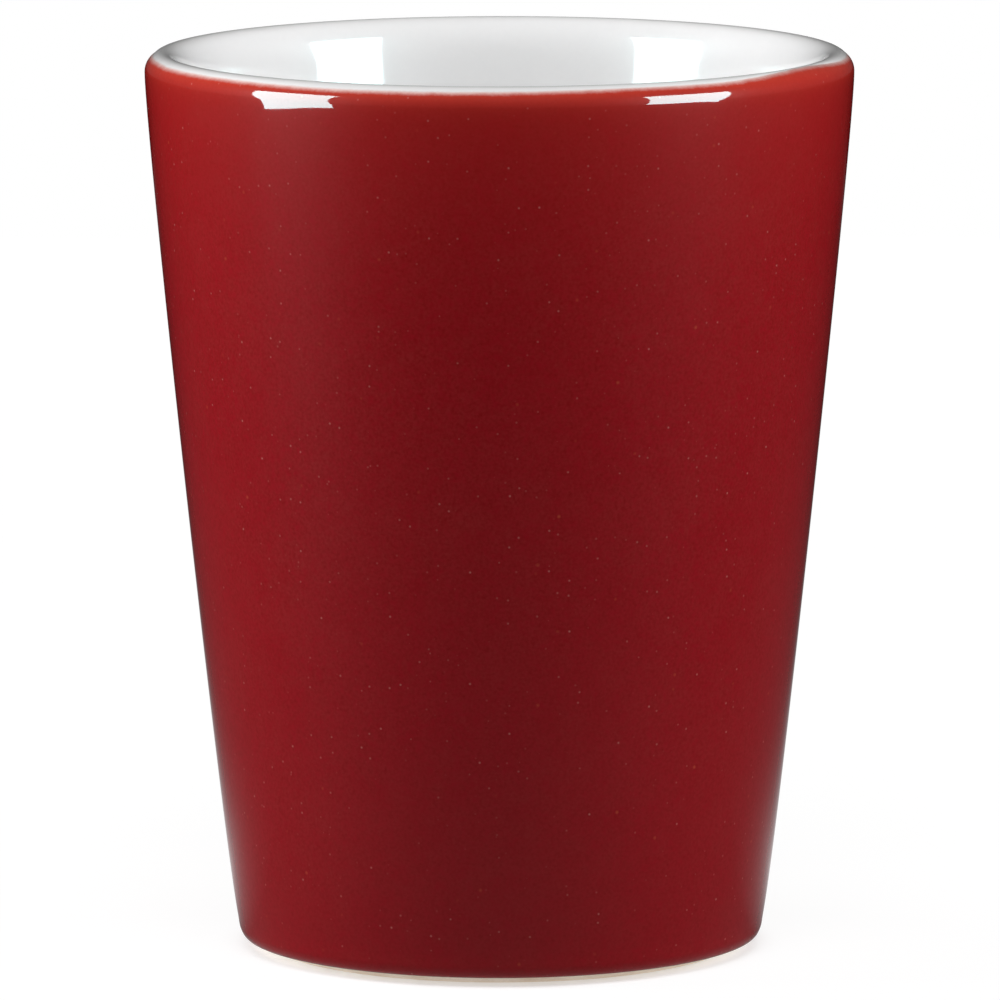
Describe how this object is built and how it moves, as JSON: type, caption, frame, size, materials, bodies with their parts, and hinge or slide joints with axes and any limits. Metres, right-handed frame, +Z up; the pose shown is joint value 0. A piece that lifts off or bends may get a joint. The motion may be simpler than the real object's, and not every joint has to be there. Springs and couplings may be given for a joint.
{
  "type": "ceramic shot glass",
  "caption": "Small tapered ceramic drinking cup with a rounded lip, red glaze outside, white glaze inside and a bare clay foot ring.",
  "frame": {"origin": "centre of the foot ring, in the plane that the cup stands on", "axes": "+Z up along the cup's axis, towards the lip; X and Y are free, because the cup is turned"},
  "size_m": [0.048, 0.048, 0.0612],
  "materials": {
    "bare_clay": "rough unglazed fired clay",
    "red_glaze": "glossy red glaze, thinner and more orange at the lip",
    "white_glaze": "glossy white glaze"
  },
  "bodies": {
    "root": {"clay_body": "bare_clay", "outer_glaze": "red_glaze", "liner_glaze": "white_glaze", "base_glaze": "red_glaze"}
  },
  "joints": []
}
